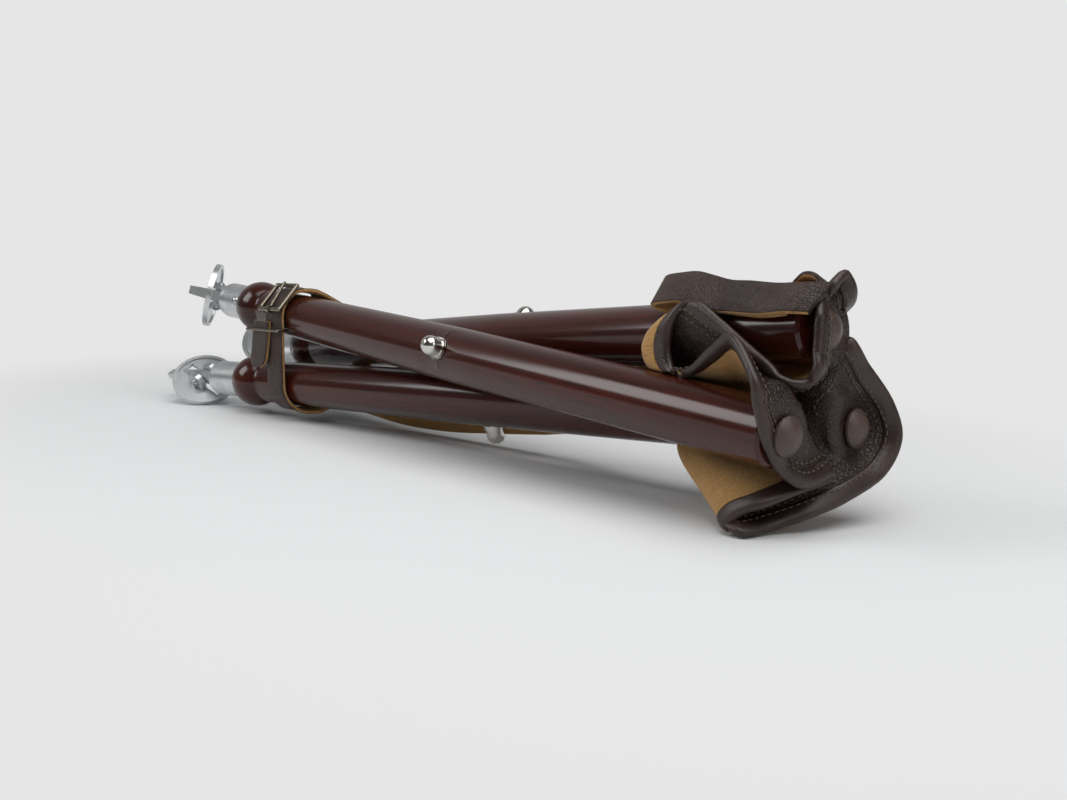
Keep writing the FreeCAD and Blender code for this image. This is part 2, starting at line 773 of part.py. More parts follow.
def hull_face(radius):
    """Face bounded by the taut line round the three legs: three arcs and three straight runs."""
    edges = []
    centres = [strap_circle(leg) for leg in LEGS]
    middle = (centres[0] + centres[1] + centres[2]) / 3
    arcs = []
    for centre in centres:
        out = (centre - middle).normalize()
        ends = [Rotation(ALONG, turn_by).multVec(out) for turn_by in (-60, 0, 60)]
        arcs.append([centre + end * radius for end in ends])
    for index in range(3):
        start, mid, end = arcs[index]
        edges.append(Part.Arc(start, mid, end).toShape())
        edges.append(Part.LineSegment(end, arcs[(index + 1) % 3][0]).toShape())
    return Part.Face(Part.Wire(edges))


def strap_join():
    """Where the long run meets the loop, on the loop's low side between the two rear legs."""
    low, high = strap_circle(2), strap_circle(3)
    along = (high - low).normalize()
    out = Vector(0, along.z, -along.y)
    reach = (high - low).Length * S.join_share.value
    spot = low + along * reach + out * (strap_radius() + S.strap_thick.value)
    spot.x = S.strap_width.value / 3 - S.strap_place.value
    turn_level = LEVEL_BUNDLE.Rotation.multVec
    return LEVEL_BUNDLE.multVec(spot), turn_level(along * -1), turn_level(out)


def make_strap():
    width, thick = S.strap_width.value, S.strap_thick.value
    radius = strap_radius()
    band = hull_face(radius + thick).cut(hull_face(radius))
    band.translate(Vector(-width / 2, 0, 0))
    band = band.extrude(Vector(width, 0, 0))
    band.Placement = LEVEL_BUNDLE.multiply(band.Placement)
    front = strap_circle(1)
    face_y = front.y - radius - thick / 2 - S.tongue_set.value
    tongue_x = -(S.strap_place.value + S.tongue_shift.value)
    top = front.z - thick
    length = S.tongue_length.value
    hanging = [
        (Vector(tongue_x + thick, face_y, top), width),
        (Vector(tongue_x, face_y, top - length * S.tongue_straight.value), width),
        (Vector(tongue_x - thick / 3, face_y, top - length), width * S.tongue_tip.value),
    ]
    tongue = facets([strip_section(spot, (1, 0, 0), (0, 1, 0), wide, thick)
                     for spot, wide in hanging])
    unit = S.strap_unit.value
    sections = []
    for x, y, z, across, out in UPPER_RUN:
        sections.append((Vector(leg_end(3).x + x * unit, y * unit, z * unit), across, out))
    for x, y, z, across, out in LOWER_RUN:
        sections.append((Vector(x * unit, y * unit, z * unit), across, out))
    sections.append(strap_join())
    run = facets([strip_section(*section, width, thick) for section in sections])
    strap = doc.addObject("Part::Feature", "carry_strap")
    strap.Shape = band.fuse([tongue, run]).removeSplitter()
    place("carry_strap", strap, Placement())


# The strap's buckle: a flat frame, a prong that swings on its bar, and a wire keeper

def buckle_frame():
    """On the strap over the front leg, with Y along the strap and Z out from it."""
    centre = strap_circle(1)
    out = strap_radius() + (S.strap_thick + S.seat_gap - S.buckle_drop).value
    spot = LEVEL_BUNDLE.multiply(moved(-S.strap_place.value, centre.y, centre.z))
    return spot.multiply(turned(ALONG, S.buckle_turn.value)).multiply(moved(0, 0, out))


def make_ring(label, wide, tall, bar, thick):
    """Flat rectangular ring with rounded edges, lying on the XY plane."""
    body = doc.addObject("PartDesign::Body", label)
    sketch = new_sketch(body, "XY_Plane", label + "_outline")
    draw_rectangle(sketch, wide + bar * 2, tall + bar * 2)
    draw_rectangle(sketch, wide, tall)
    pad = body.newObject("PartDesign::Pad", label + "_pad")
    pad.Profile = sketch
    bind(pad, Length=thick)
    doc.recompute()
    rounding = body.newObject("PartDesign::Fillet", label + "_round")
    rounding.Base = (pad, [f"Edge{n}" for n in range(1, len(pad.Shape.Edges) + 1)])
    bind(rounding, Radius=thick * S.ring_rounding)
    doc.recompute()
    return body


def make_buckle():
    bar = S.buckle_bar
    frame = make_ring("buckle_frame", S.buckle_inside, S.buckle_length - bar * 2, bar, bar)
    place("buckle_frame", frame, buckle_frame())
    roll = doc.addObject("Part::Cylinder", "prong_roll")
    bind(roll, Radius=bar / 2 + S.running_gap + S.prong_wall, Height=S.prong_eye_width)
    hole = doc.addObject("Part::Cylinder", "prong_roll_hole")
    bind(hole, Radius=bar / 2 + S.running_gap, Height=S.prong_eye_width)
    eye = doc.addObject("Part::Cut", "prong_eye")
    eye.Base = roll
    eye.Tool = hole
    eye.Placement = moved(-S.prong_eye_width.value / 2, 0, 0).multiply(turned(ACROSS, 90.0))
    shaft = doc.addObject("Part::Cylinder", "prong_shaft")
    start = bar / 2 + S.running_gap + S.prong_wall / 2
    bind(shaft, Radius=S.prong_radius, Height=S.buckle_length - start - bar * S.prong_short)
    shaft.Placement = Placement(Vector(0, start.value, 0), Rotation(ALONG, -90))
    prong = doc.addObject("Part::MultiFuse", "buckle_prong")
    prong.Shapes = [eye, shaft]
    doc.recompute()
    place("buckle_prong", prong, prong_frame())
    keeper_wide = S.strap_width + S.tongue_shift + S.keeper_wire
    keeper_deep = S.strap_thick + S.tongue_set + S.seat_gap * 2
    keeper = make_ring("strap_keeper", keeper_wide, keeper_deep, S.keeper_wire, S.keeper_wire)
    band_middle = strap_circle(1).y - strap_radius() - S.strap_thick.value / 2
    spot = moved(-(S.strap_place + S.tongue_shift / 2).value,
                 band_middle - S.tongue_set.value / 2, S.keeper_height.value)
    place("strap_keeper", keeper, LEVEL_BUNDLE.multiply(spot))


def prong_frame():
    """On the buckle's lower bar, tipped until the prong lies on the upper one."""
    bar = S.buckle_bar.value
    at_bar = moved(0, -(S.buckle_length.value - bar) / 2, bar / 2)
    rest = math.degrees(math.asin((bar / 2 + S.prong_radius.value + S.seat_gap.value)
                                  / (S.buckle_length.value - bar)))
    return buckle_frame().multiply(at_bar).multiply(turned(ALONG, rest))


for number in LEGS:
    make_leg(number)
    make_ferrule(number)
    make_screw(number)
    make_disc(number)
    make_pin(number)
    make_nut(number)
    make_button(number)
make_bolt()
face_in = S.leg_ring - S.leg_radius_mid + S.face_depth_in
face_out = S.leg_ring + S.leg_radius_mid - S.face_depth_out
make_washers("inner_washers", face_in - S.running_gap - S.washer_thick)
make_washers("outer_washers", face_out + S.running_gap)
make_seat()
make_strap()
make_buckle()
doc.recompute()

for thing in doc.Objects:
    if "Invalid" in thing.State or "Error" in thing.State:
        raise RuntimeError(f"{thing.Name} failed: {thing.State}")
for label, thing in parts.items():
    if thing.Shape.isNull() or not thing.Shape.isValid():
        raise RuntimeError(f"{label} has no valid shape")

os.makedirs("parts", exist_ok=True)
for label, thing in parts.items():
    thing.Shape.exportStep(f"parts/{label}.step")


def say_pivot(name, frame, axis):
    spot = HUB.multiply(frame).multVec(Vector())
    way = frame.Rotation.multVec(axis)
    print(f"pivot {name} at {spot.x:.4f} {spot.y:.4f} {spot.z:.4f}"
          f" axis {way.x:.6f} {way.y:.6f} {way.z:.6f}")


for number in LEGS:
    say_pivot(f"leg_{number}", leg_frame(number), UP * -1)
    say_pivot(f"ground_disc_{number}", disc_frame(number), UP)
    sole = moved(-(S.disc_stand + S.disc_thick).value, 0, S.disc_radius.value * 0.6)
    say_pivot(f"sole_{number}", disc_frame(number).multiply(sole), ALONG * -1)
say_pivot("buckle_prong", prong_frame(), ALONG)
box = FreeCAD.BoundBox()
for label, thing in parts.items():
    box.add(thing.Shape.optimalBoundingBox())
    print(label, len(thing.Shape.Solids), round(thing.Shape.Volume, 1))
print("box", [round(v, 3) for v in (box.XMin, box.YMin, box.ZMin, box.XMax, box.YMax, box.ZMax)])
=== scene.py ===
# A folding tripod stool, folded, strapped and lying on a pale floor: lacquered hardwood legs, cast
# feet, a dark leather seat hanging in folds and a leather carrying strap. Lengths are in metres.
import bmesh
import bpy
import numpy as np
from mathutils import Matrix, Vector


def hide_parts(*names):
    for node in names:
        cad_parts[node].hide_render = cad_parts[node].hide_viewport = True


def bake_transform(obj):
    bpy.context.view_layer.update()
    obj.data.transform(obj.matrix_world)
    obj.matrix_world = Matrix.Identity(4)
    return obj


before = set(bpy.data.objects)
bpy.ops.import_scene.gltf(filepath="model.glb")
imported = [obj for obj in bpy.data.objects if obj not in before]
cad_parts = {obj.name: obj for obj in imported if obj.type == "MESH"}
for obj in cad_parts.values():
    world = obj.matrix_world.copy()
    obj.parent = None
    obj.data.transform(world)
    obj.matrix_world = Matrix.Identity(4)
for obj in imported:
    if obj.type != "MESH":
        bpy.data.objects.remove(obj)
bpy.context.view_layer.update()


# Legs: three turned hardwood legs, stained reddish brown and lacquered, each on its own stud of the
# bolt at the hub. Fine dark pores run along the wood under a clear coat that mirrors the lamps in
# soft bands.

LEGS = (1, 2, 3)
# The middle of the bolt, and each leg's way towards the seat
HUB = np.array([0.0539, -0.0045, 0.05376])
LEG_WAYS = {1: (0.9977, -0.0330, -0.0600), 2: (0.9945, 0.0945, 0.0460), 3: (0.9927, -0.0610, 0.1040)}
WOOD = "#43170d"
WOOD_PORE = "#1f0805"
WOOD_SHADE = "#2a0d07"
# Pores are drawn wider and longer than real ones, so that they show
PORE_WIDTH = 0.0011
PORE_LENGTH = 0.026
SHADE_WIDTH = 0.011
SHADE_LENGTH = 0.22


def linear(code):
    """An sRGB hex colour as linear red, green, blue and alpha: dark parts divided by 12.92, the rest
    raised to the power 2.4."""
    parts = np.array([int(code[k:k + 2], 16) for k in (1, 3, 5)]) / 255
    low = parts / 12.92
    high = ((parts + 0.055) / 1.055) ** 2.4
    return (*np.where(parts <= 0.04045, low, high), 1.0)


def node(tree, kind, out=0, settings=(), **sockets):
    """Adds a shader node and gives one of its outputs. A socket, named or numbered as _3, takes a
    number, a colour or another node's output."""
    made = tree.nodes.new(kind)
    for key, value in dict(settings).items():
        setattr(made, key, value)
    for key, value in sockets.items():
        socket = made.inputs[int(key[1:]) if key[0] == "_" else key.replace("_", " ")]
        if isinstance(value, bpy.types.NodeSocket):
            tree.links.new(value, socket)
        else:
            socket.default_value = value
    return made.outputs[out] if len(made.outputs) else made


def new_material(name):
    """An empty node material and its tree."""
    material = bpy.data.materials.new(name)
    material.use_nodes = True
    material.node_tree.nodes.clear()
    return material, material.node_tree


def lacquered_wood(leg):
    """Stained hardwood under lacquer. Noise stretched along the leg gives thin dark pores and broad
    darker streaks, and the clear coat over them gives the shine."""
    material, tree = new_material(f"lacquered_hardwood_{leg}")
    where = node(tree, "ShaderNodeTexCoord", "Object")
    turn = Vector((1, 0, 0)).rotation_difference(Vector(LEG_WAYS[leg])).to_euler()
    fine = node(tree, "ShaderNodeMapping", settings={"vector_type": "TEXTURE"}, Vector=where,
                Rotation=turn, Scale=(PORE_LENGTH, PORE_WIDTH, PORE_WIDTH))
    broad = node(tree, "ShaderNodeMapping", settings={"vector_type": "TEXTURE"}, Vector=where,
                 Rotation=turn, Scale=(SHADE_LENGTH, SHADE_WIDTH, SHADE_WIDTH))
    pores = node(tree, "ShaderNodeTexNoise", Vector=fine, Scale=1.0, Detail=3.0)
    shades = node(tree, "ShaderNodeTexNoise", Vector=broad, Scale=1.0, Detail=3.0)
    pore = node(tree, "ShaderNodeMapRange", Value=pores, From_Min=0.56, From_Max=0.72)
    shade = node(tree, "ShaderNodeMapRange", Value=shades, From_Min=0.35, From_Max=0.7)
    tone = node(tree, "ShaderNodeMix", 2, {"data_type": "RGBA"}, _0=shade, _6=linear(WOOD),
                _7=linear(WOOD_SHADE))
    tone = node(tree, "ShaderNodeMix", 2, {"data_type": "RGBA"}, _0=pore, _6=tone, _7=linear(WOOD_PORE))
    shader = node(tree, "ShaderNodeBsdfPrincipled", Base_Color=tone, Roughness=0.5,
                  Specular_IOR_Level=0.05, Coat_Weight=1.0, Coat_Roughness=0.17, Coat_IOR=1.42)
    node(tree, "ShaderNodeOutputMaterial", Surface=shader)
    return material


def finish_nodes(names, material):
    """Gives CAD pieces their surface."""
    for name in names:
        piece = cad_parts[name]
        piece.data.materials.clear()
        piece.data.materials.append(material)


for leg in LEGS:
    finish_nodes([f"leg_{leg}"], lacquered_wood(leg))


# Feet: cast aluminium ferrules with spikes, screwed to the leg ends, and ground discs riveted to the
# spikes. They are tumbled bright, and the skin is faintly clouded and pitted, so its highlights have
# soft, broken edges.

CAST = "#dcdedf"
CAST_CLOUD = "#bfc2c4"
CLOUD_SIZE = 0.012
# Pits are drawn coarser than real ones, so that they show
PIT_SIZE = 0.0016
PIT_DEPTH = 0.0003


def cast_aluminium():
    """Bare cast metal: broad noise clouds its tone and its gloss, and fine noise pits it."""
    material, tree = new_material("cast_aluminium")
    where = node(tree, "ShaderNodeTexCoord", "Object")
    cloud = node(tree, "ShaderNodeTexNoise", Vector=where, Scale=1 / CLOUD_SIZE, Detail=4.0)
    pits = node(tree, "ShaderNodeTexNoise", Vector=where, Scale=1 / PIT_SIZE, Detail=2.0)
    share = node(tree, "ShaderNodeMapRange", Value=cloud, From_Min=0.35, From_Max=0.75)
    rough = node(tree, "ShaderNodeMapRange", Value=cloud, From_Min=0.3, From_Max=0.8, To_Min=0.3,
                 To_Max=0.42)
    tone = node(tree, "ShaderNodeMix", 2, {"data_type": "RGBA"}, _0=share, _6=linear(CAST),
                _7=linear(CAST_CLOUD))
    relief = node(tree, "ShaderNodeBump", Height=pits, Strength=0.12, Distance=PIT_DEPTH)
    shader = node(tree, "ShaderNodeBsdfPrincipled", Base_Color=tone, Metallic=1.0, Roughness=rough,
                  Normal=relief)
    node(tree, "ShaderNodeOutputMaterial", Surface=shader)
    return material


finish_nodes([f"{kind}_{n}" for kind in ("ferrule", "ground_disc") for n in LEGS], cast_aluminium())


# Small hardware: bright steel screws, rivets and bolt, and nickel-plated cap nuts. Light handling
# marks vary how sharply they mirror the room.

STEEL = "#b5b6b8"
STEEL_ROUGH = 0.24
NICKEL = "#d3d1cb"
NICKEL_ROUGH = 0.09
MARK_SIZE = 0.0017
MARK_DULLING = 0.1


def plain_metal(name, code, rough):
    """Bright metal of one colour, whose roughness rises with fine noise as handling marks dull it."""
    material, tree = new_material(name)
    where = node(tree, "ShaderNodeTexCoord", "Object")
    marks = node(tree, "ShaderNodeTexNoise", Vector=where, Scale=1 / MARK_SIZE, Detail=3.0)
    dull = node(tree, "ShaderNodeMapRange", Value=marks, From_Min=0.2, From_Max=0.8, To_Min=rough,
                To_Max=rough + MARK_DULLING)
    shader = node(tree, "ShaderNodeBsdfPrincipled", Base_Color=linear(code), Metallic=1.0, Roughness=dull)
    node(tree, "ShaderNodeOutputMaterial", Surface=shader)
    return material


steel_nodes = [f"{kind}_{n}" for kind in ("ferrule_screw", "disc_pin", "button_screw") for n in LEGS]
finish_nodes([*steel_nodes, "three_way_bolt", "inner_washers"],
             plain_metal("bright_steel", STEEL, STEEL_ROUGH))
finish_nodes([*(f"cap_nut_{n}" for n in LEGS), "outer_washers"],
             plain_metal("nickel_plate", NICKEL, NICKEL_ROUGH))


# Seat: one sheet of leather, grain side out over the leg ends and suede beneath, that hangs in a
# deep fold between each pair of legs. Each column gives the bound edge and three points on the way
# in to the middle, in millimetres from the hub.

SEAT_THICK = 0.0022
SEAT_MIDDLE = (184, -1, 5)
SEAT_COLUMNS = (
    # front leg's corner
    ((224, -44, 20.5), (224.5, -36, 14), (222, -22, 15), (204, -12, 10)),
    ((226.5, -44.8, 10), (227.8, -34, 4), (226, -16, 7), (206, -9, 7)),
    ((228, -40.6, -4.3), (227.8, -30, -4), (227, -13, 1), (206, -8, 5)),
    ((228, -34.5, -13.3), (227.9, -28, -9), (227.3, -11, -3), (206, -7, 3)),
    ((228.2, -26.5, -22.8), (227.9, -24, -13), (227.3, -9, -7), (205, -6, 1)),
    ((230.5, -17.5, -29), (228.2, -17, -18), (226.5, -5, -11), (203, -5, 0)),
    ((231.5, -7, -29.5), (228.5, -8, -20), (225, -1, -14), (200, -4, -2)),
    ((232.5, 2.5, -27), (228, 2, -21), (222, 1, -15), (197, -3, -3)),
    ((231.5, 3, -30), (224, -2, -24), (212, -2, -17), (193, -3, -5)),
    ((227, -13, -33), (213, -11, -26), (196, -8, -18), (184, -5, -8)),
    # fold between the front and rear legs, standing on the floor
    ((220.4, -28, -37.6), (203, -23, -30), (174, -13, -21), (172, -7, -10)),
    ((210, -33, -43), (191, -26, -33.6), (165, -13, -23), (165, -7, -11)),
    ((205, -34.5, -49.6), (184, -25, -39.4), (158, -12, -25), (160, -6, -11)),
    ((213.5, -34.5, -50.9), (192, -21, -40.4), (162, -8, -26), (164, -4, -10)),
    ((218.5, -19, -49.8), (200, -9.5, -37.5), (174, -3, -22), (171, -2, -8)),
    ((229, -4, -44.4), (216, -1, -33), (195, 0, -20), (180, -1, -7)),
    # rear leg's corner
    ((235, 14, -39), (229, 10, -26), (216, 4, -14), (192, 0, -5)),
    ((239.5, 35, -30), (229.5, 28, -19), (228.6, 11, -8), (206, 4, 0)),
    ((241, 45, -14.7), (229.5, 34, -9), (228.6, 11, -1), (206, 5, 2)),
    ((237.5, 42, 1.5), (228.8, 30, 0), (228, 11, 5), (206, 5, 5)),
    ((233, 29, 18), (228, 22, 10), (225, 9, 10), (205, 4, 7)),
    ((228, 20, 31), (223, 14, 21), (213, 8, 14), (196, 4, 9)),
    # fold behind, hanging to the floor
    ((205, 38, 16), (200, 27, 13), (188, 15, 10), (180, 6, 7)),
    ((196, 48, -25), (188, 41, -10), (176, 22, 8), (172, 8, 7)),
    ((188, 52, -50.2), (176, 45, -25), (160, 24, 6), (166, 9, 8)),
    ((186, 54, -15), (176, 44, 0), (162, 25, 12), (168, 8, 9)),
    ((204, 42, 32), (195, 31, 27), (184, 17, 16), (177, 6, 10)),
    # top leg's corner
    ((229.5, 20, 50), (226.5, 12, 44), (227, 7, 25), (206, 3, 12)),
    ((230.5, 12.5, 61), (225.8, 8, 49), (227.6, 5, 24), (206, 2.5, 12)),
    ((230.5, 3.5, 57), (226, 3, 49), (228, 3, 23), (206, 2, 11)),
    ((228.4, 1, 51.5), (226.4, 2, 44), (228.4, 2, 22), (206, 1.5, 11)),
    ((228.2, -3.3, 42.5), (227, 2, 39), (228.6, 1, 21), (206, 1, 10.5)),
    ((229.7, -5.2, 33), (227.5, 2, 32), (228.6, 0, 19.5), (206, 0.5, 10)),
    ((229.5, -7.2, 25), (228.3, 1, 24.5), (227.5, -1, 17.5), (206, 0, 9.5)),
    ((229.6, -9.4, 18.8), (227.5, -3, 17), (222, -3, 14), (205, -1, 9)),
    # fold between the top and front legs, lying on the front leg
    ((230.5, -13, 15.4), (222, -10, 12), (211, -6, 10), (200, -3, 9)),
    ((226, -17.2, 14.8), (217, -13, 12), (207, -8, 10), (197, -4, 8.5)),
    ((220, -20.3, 17.2), (212, -15, 13.5), (202, -9, 10.5), (194, -4.5, 8.5)),
    ((214.5, -20, 21.6), (208, -15.5, 16), (199, -9.5, 11.5), (192, -5, 8.5)),
    ((204, -20, 28), (199, -15, 21), (191, -10, 13), (187, -5, 9)),
    ((185.3, -18, 38.5), (180, -14, 28), (175, -10, 17), (178, -5, 10)),
    ((168.5, -17, 46.5), (157, -17, 37), (158, -11, 20), (168, -6, 9)),
    ((159.5, -20, 38.5), (146, -20, 32), (151, -12, 18.5), (164, -6, 8)),
    ((157.5, -22, 25.5), (142.5, -21.5, 23), (149, -13, 14.5), (163, -6, 7)),
    ((163, -24, 15.2), (149, -22, 14.6), (153, -14, 11.5), (165, -6, 6)),
    ((175, -27, 15.2), (168, -21, 14), (170, -12.5, 9.5), (175, -6, 5.5)),
    ((190.7, -31, 27.4), (188.5, -21.5, 18), (186, -12, 10.5), (184, -6, 6)),
    ((206.3, -36, 34.5), (203, -23, 22), (196, -13, 14), (191, -7, 9)),
)
# First and last column of each leg's lobe, both in the middle of a fold
LOBES = {1: (43, 12), 2: (12, 24), 3: (24, 43)}
# The cut is a triangle through the buttons
# A point on each leg's axis under its button, in millimetres from the hub
LEG_ENDS = {1: (229.6, -26.7, -6.8), 2: (229.7, 25.5, -9.2), 3: (228.8, 1.6, 36.8)}
LEG_CLEAR = 0.0170
CLEAR_BEHIND = 0.004
PAD_REACH = 0.018
PAD_DEPTH = 0.013
PAD_FADE = 0.006
PAD_SINK = 0.0017
# Columns and rows where the top corner's edge curls, and how far it goes in millimetres
CURL_COLUMNS = (29.8, 31, 33.6, 35.6)
CURL_ROWS = (0.9, 1.7)
CURL = (4.9, -4.5, 1.05)
COLUMN_STEPS = 20
SPAN_STEPS = 11
GRAIN = "#231511"
GRAIN_WORN = "#3a2a24"
SUEDE = "#c49961"
SUEDE_DARK = "#967040"
HIDE_ROUGH = (0.32, 0.46)
PEBBLE = 0.0016
PEBBLE_DEPTH = 0.0005
PATCH = 0.022
# The nap is drawn coarser than real, so that it shows
NAP = 0.0011
NAP_DEPTH = 0.0008


def spline(points, steps, closed):
    """Smooth curve through points along the first axis: each span is the cubic whose slope at a
    point is half the difference of its neighbours."""
    points = np.asarray(points, float)
    if closed:
        points = np.concatenate([points[-1:], points, points[:2]])
    else:
        points = np.concatenate([2 * points[:1] - points[1:2], points, 2 * points[-1:] - points[-2:-1]])
    spans = len(points) - 3
    where = np.arange(spans * steps + (0 if closed else 1)) / steps
    first = np.minimum(where.astype(int), spans - 1)
    t = (where - first).reshape(-1, *[1] * (points.ndim - 1))
    a, b, c, d = (points[first + k] for k in range(4))
    return 0.5 * (2 * b + (c - a) * t + (2 * a - 5 * b + 4 * c - d) * t ** 2
                  + (3 * b - a - 3 * c + d) * t ** 3)


def smooth_step(value):
    """Rises from 0 to 1 as the value does, level at both ends: three squares less two cubes."""
    value = np.clip(value, 0, 1)
    return value * value * (3 - 2 * value)


def laid_on_legs(grid):
    """Near a leg's axis the sheet moves along it onto the leg's flat end. Behind that end the sheet
    moves out from the axis until it clears the leg."""
    for leg in LEGS:
        ahead = np.array(LEG_WAYS[leg])
        away = grid - HUB - np.array(LEG_ENDS[leg]) / 1000
        along = away @ ahead
        radial = away - along[..., None] * ahead
        off = np.linalg.norm(radial, axis=-1)
        near = smooth_step((PAD_REACH - off) / PAD_FADE)
        share = near * smooth_step((PAD_DEPTH - np.abs(along)) / PAD_FADE)
        grid = grid + (share * (-PAD_SINK - along))[..., None] * ahead
        short = np.where(along < -CLEAR_BEHIND, np.maximum(LEG_CLEAR - off, 0), 0)
        grid = grid + (short / np.maximum(off, 1e-6))[..., None] * radial
    return grid


def curled(grid):
    """The top corner's front edge stands forward, ahead of its button. The move is full over its
    middle columns and first rows and fades to none around them."""
    over = np.interp(np.arange(len(grid)) / COLUMN_STEPS, CURL_COLUMNS, (0, 1, 1, 0))
    down = np.interp(np.arange(grid.shape[1]) / SPAN_STEPS, CURL_ROWS, (1, 0))
    share = smooth_step(over)[:, None] * smooth_step(down)
    return grid + share[..., None] * np.array(CURL) / 1000


def seat_grid():
    """The whole sheet: smooth along each column to the middle, then smooth from column to column."""
    net = np.array([[*column, SEAT_MIDDLE] for column in SEAT_COLUMNS], float)
    rows = spline(np.moveaxis(net, 1, 0), SPAN_STEPS, False)
    grid = spline(np.moveaxis(rows, 0, 1), COLUMN_STEPS, True)
    return curled(laid_on_legs(HUB + grid / 1000))


def grid_object(name, grids, materials, closed=False, kinds=None):
    """A mesh from one grid of points or a stack of them: four neighbouring points make a face. Closed
    joins the last column to the first. Kinds gives each face its material, row by row."""
    rows, columns = grids.shape[-3:-1]
    number = np.arange(grids.size // 3).reshape(-1, rows, columns)
    if closed:
        number = np.concatenate([number, number[:, :, :1]], axis=2)
    near, far = number[:, :-1], number[:, 1:]
    quads = np.stack([near[:, :, :-1], far[:, :, :-1], far[:, :, 1:], near[:, :, 1:]], axis=-1)
    mesh = bpy.data.meshes.new(name)
    mesh.from_pydata(grids.reshape(-1, 3).tolist(), [], quads.reshape(-1, 4).tolist())
    mesh.polygons.foreach_set("use_smooth", np.ones(len(mesh.polygons), bool))
    for material in materials:
        mesh.materials.append(material)
    if kinds is not None:
        mesh.polygons.foreach_set("material_index", np.resize(kinds, len(mesh.polygons)).astype(np.int32))
    shape = bmesh.new()
    shape.from_mesh(mesh)
    bmesh.ops.remove_doubles(shape, verts=shape.verts, dist=1e-7)
    if closed:
        bmesh.ops.recalc_face_normals(shape, faces=shape.faces)
    shape.to_mesh(mesh)
    shape.free()
    piece = bpy.data.objects.new(name, mesh)
    bpy.context.scene.collection.objects.link(piece)
    return piece


def grained_hide(name, dark, worn, sheen=0.45, depth=0.5):
    """Pebbled, finished cowhide. Voronoi cells raise the pebbles, and broad noise gives paler, duller
    patches where it is worn."""
    material, tree = new_material(name)
    where = node(tree, "ShaderNodeTexCoord", "Object")
    cells = node(tree, "ShaderNodeTexVoronoi", "Distance", {"feature": "DISTANCE_TO_EDGE"}, Vector=where,
                 Scale=1 / PEBBLE)
    patches = node(tree, "ShaderNodeTexNoise", Vector=where, Scale=1 / PATCH, Detail=4.0)
    share = node(tree, "ShaderNodeMapRange", Value=patches, From_Min=0.35, From_Max=0.75)
    tone = node(tree, "ShaderNodeMix", 2, {"data_type": "RGBA"}, _0=share, _6=linear(dark),
                _7=linear(worn))
    rough = node(tree, "ShaderNodeMapRange", Value=patches, From_Min=0.3, From_Max=0.7,
                 To_Min=HIDE_ROUGH[0], To_Max=HIDE_ROUGH[1])
    pebble = node(tree, "ShaderNodeMapRange", Value=cells, From_Min=0.0, From_Max=0.22)
    relief = node(tree, "ShaderNodeBump", Height=pebble, Strength=depth, Distance=PEBBLE_DEPTH)
    shader = node(tree, "ShaderNodeBsdfPrincipled", Base_Color=tone, Roughness=rough, Normal=relief,
                  Specular_IOR_Level=sheen)
    node(tree, "ShaderNodeOutputMaterial", Surface=shader)
    return material


def tan_suede():
    """The hide's split side, undyed and without gloss: fine noise mixes two tans and raises a short
    nap, and broad noise darkens it in patches."""
    material, tree = new_material("tan_suede")
    where = node(tree, "ShaderNodeTexCoord", "Object")
    nap = node(tree, "ShaderNodeTexNoise", Vector=where, Scale=1 / NAP, Detail=5.0, Roughness=0.7)
    patches = node(tree, "ShaderNodeTexNoise", Vector=where, Scale=1 / PATCH, Detail=3.0)
    lift = node(tree, "ShaderNodeMapRange", Value=nap, From_Min=0.3, From_Max=0.7)
    worn = node(tree, "ShaderNodeMapRange", Value=patches, From_Min=0.35, From_Max=0.8, To_Max=0.4)
    tone = node(tree, "ShaderNodeMix", 2, {"data_type": "RGBA"}, _0=lift, _6=linear(SUEDE_DARK),
                _7=linear(SUEDE))
    tone = node(tree, "ShaderNodeMix", 2, {"data_type": "RGBA"}, _0=worn, _6=tone, _7=linear(SUEDE_DARK))
    relief = node(tree, "ShaderNodeBump", Height=nap, Strength=0.6, Distance=NAP_DEPTH)
    shader = node(tree, "ShaderNodeBsdfPrincipled", Base_Color=tone, Roughness=0.95, Normal=relief,
                  Specular_IOR_Level=0.1, Sheen_Weight=0.25)
    node(tree, "ShaderNodeOutputMaterial", Surface=shader)
    return material


hide = grained_hide("grained_hide", GRAIN, GRAIN_WORN)
suede = tan_suede()
seat = seat_grid()


def lobe_span(array, leg):
    """The columns of one leg's lobe, both shared folds included."""
    start, end = LOBES[leg]
    count = len(SEAT_COLUMNS)
    span = (end - start) % count
    return array[(start * COLUMN_STEPS + np.arange(span * COLUMN_STEPS + 1)) % (count * COLUMN_STEPS)]


def follow_leg(piece):
    """A soft piece at the seat: its place is baked into its mesh."""
    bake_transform(piece)


lobes = {}
for leg in LEGS:
    lobes[leg] = grid_object(f"seat_lobe_{leg}", lobe_span(seat, leg), [hide, suede])
    wall = lobes[leg].modifiers.new("thickness", "SOLIDIFY")
    wall.thickness = SEAT_THICK
    wall.offset = 0.0
    wall.material_offset = 1
    wall.material_offset_rim = 1
    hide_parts("seat_leather")
    follow_leg(lobes[leg])


# Binding: a strip of the same hide folded over the whole edge of the seat, and the two rows of
# thread that hold it. A section is (way in from the edge, height off the sheet) in millimetres.

BINDING_SECTION = (
    (-2.0, 0), (-1.6, 1.2), (-0.5, 2.0), (1.4, 2.4), (3.6, 2.3), (5.6, 2.1), (6.8, 1.8), (7.2, 1.0),
    (7.2, -1.0), (6.8, -1.8), (5.6, -2.1), (3.6, -2.3), (1.4, -2.4), (-0.5, -2.0), (-1.6, -1.2),
)
BINDING = "#291a16"
BINDING_WORN = "#3f2e28"
STITCH_ROWS = ((5.4, 2.25), (9.4, 1.35))
STITCH_NORMAL_ROW = 4
